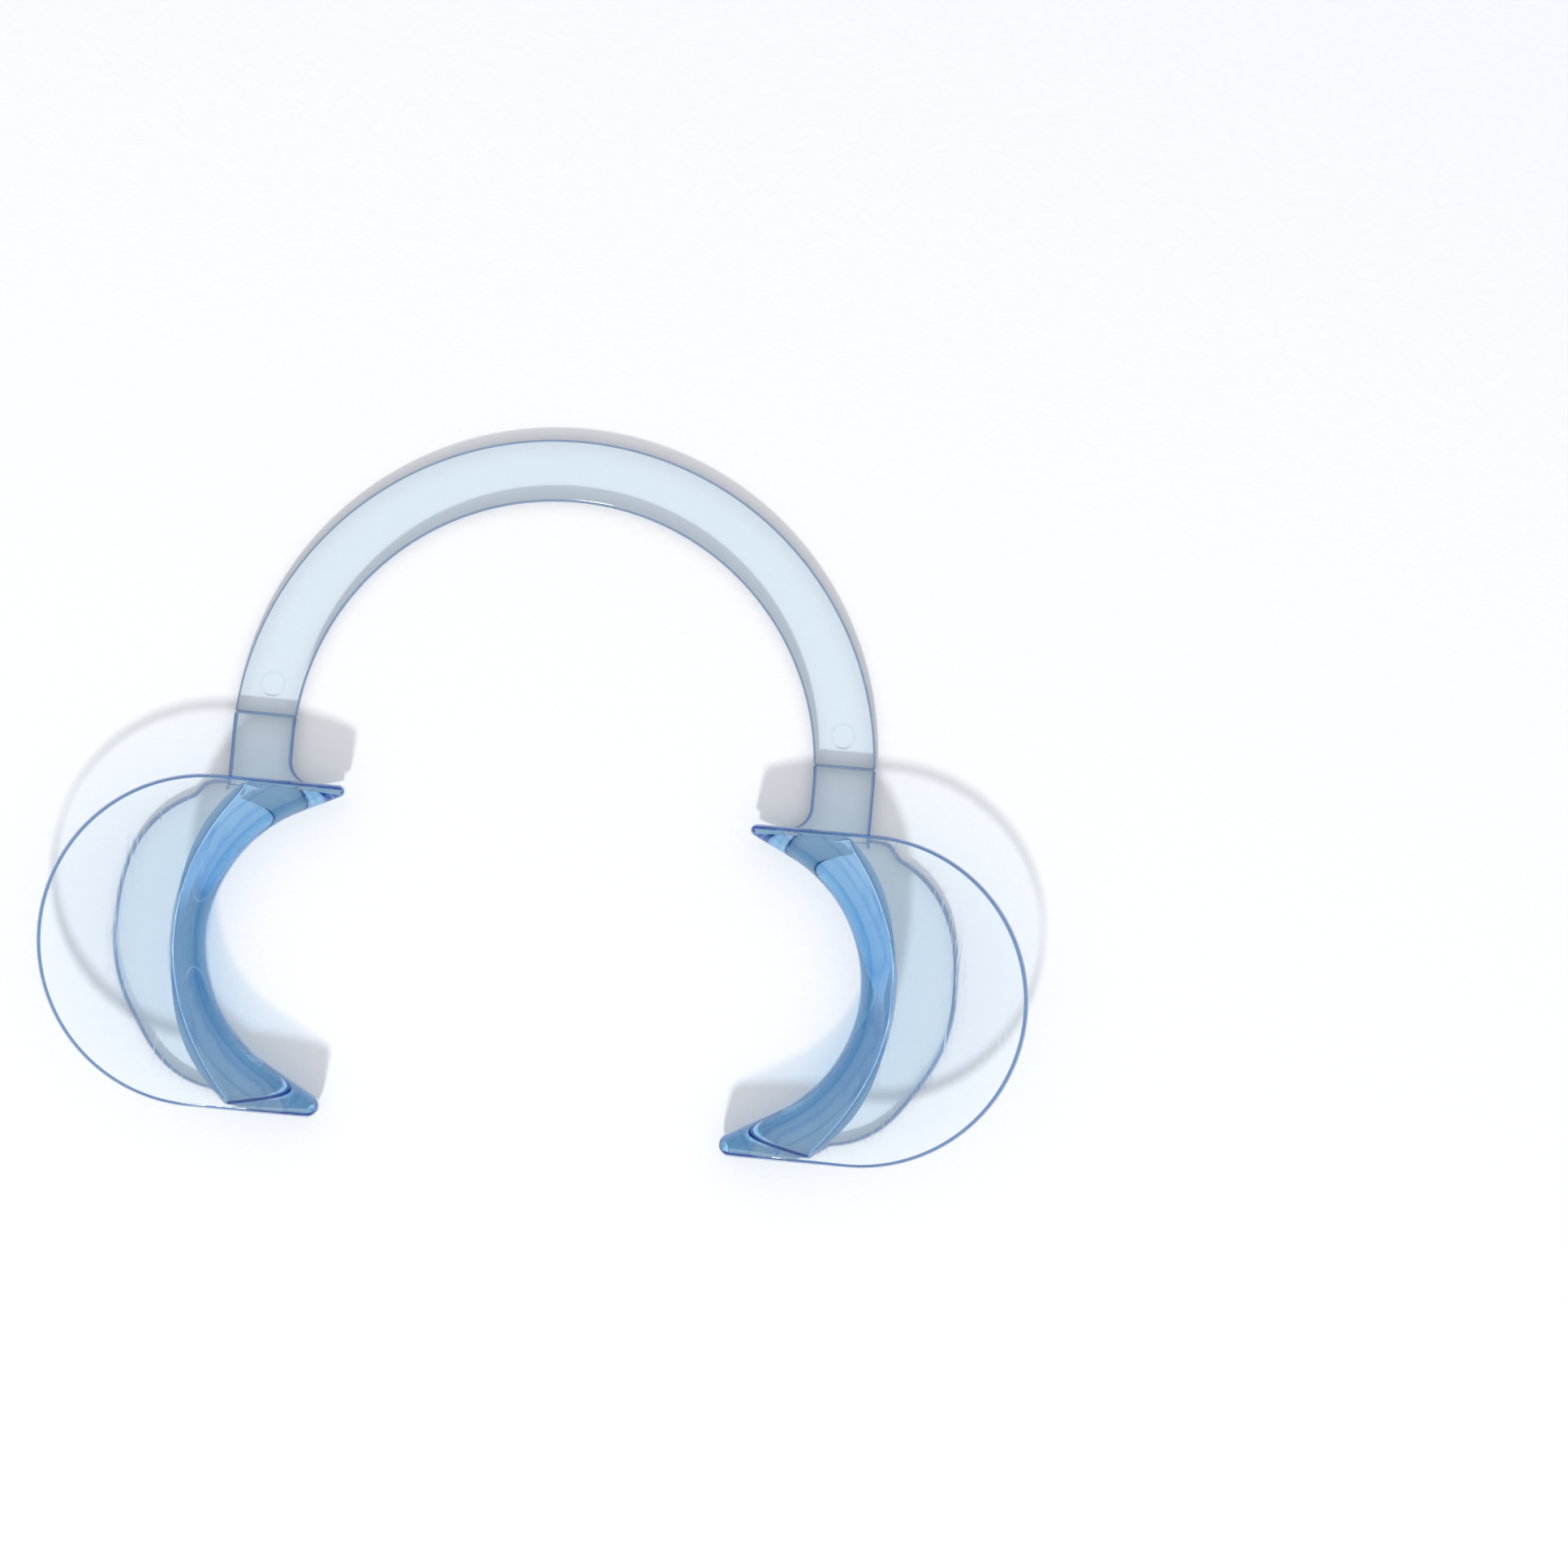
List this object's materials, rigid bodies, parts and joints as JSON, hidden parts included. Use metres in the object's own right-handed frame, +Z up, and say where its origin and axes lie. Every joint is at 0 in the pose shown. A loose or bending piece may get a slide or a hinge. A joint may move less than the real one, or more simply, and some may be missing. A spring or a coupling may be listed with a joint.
{
  "type": "dental cheek retractor",
  "caption": "C-shaped cheek and lip retractor: a springy clear blue bow carries two flanges with outward lip channels that hold the mouth open.",
  "frame": {"origin": "under the middle of the bounding box, on the surface that the retractor lies on", "axes": "+X along the mouth's width, towards the right flange; +Y from the flanges towards the bow's crown; +Z up, from the face side to the cheek side"},
  "size_m": [0.1246, 0.0878, 0.0105],
  "materials": {
    "clear_blue_plastic": "clear injection-moulded plastic with a light blue tint, polished flanges and a finely grained bow"
  },
  "bodies": {
    "left_half": {"left_bow": "clear_blue_plastic", "left_arm_root": "clear_blue_plastic", "left_face_plate": "clear_blue_plastic", "left_saddle": "clear_blue_plastic", "left_cheek_plate": "clear_blue_plastic", "left_upper_horn": "clear_blue_plastic", "left_lower_horn": "clear_blue_plastic"},
    "right_half": {"right_bow": "clear_blue_plastic", "right_arm_root": "clear_blue_plastic", "right_face_plate": "clear_blue_plastic", "right_saddle": "clear_blue_plastic", "right_cheek_plate": "clear_blue_plastic", "right_upper_horn": "clear_blue_plastic", "right_lower_horn": "clear_blue_plastic"}
  },
  "joints": [
    {"name": "bow_flex", "type": "hinge", "parent": "left_half", "child": "right_half", "pos_m": [0, 0.0361, 0.001], "axis": [0, 0, -1], "range_deg": [0, 20], "stiffness_Nm_per_rad": 2}
  ]
}
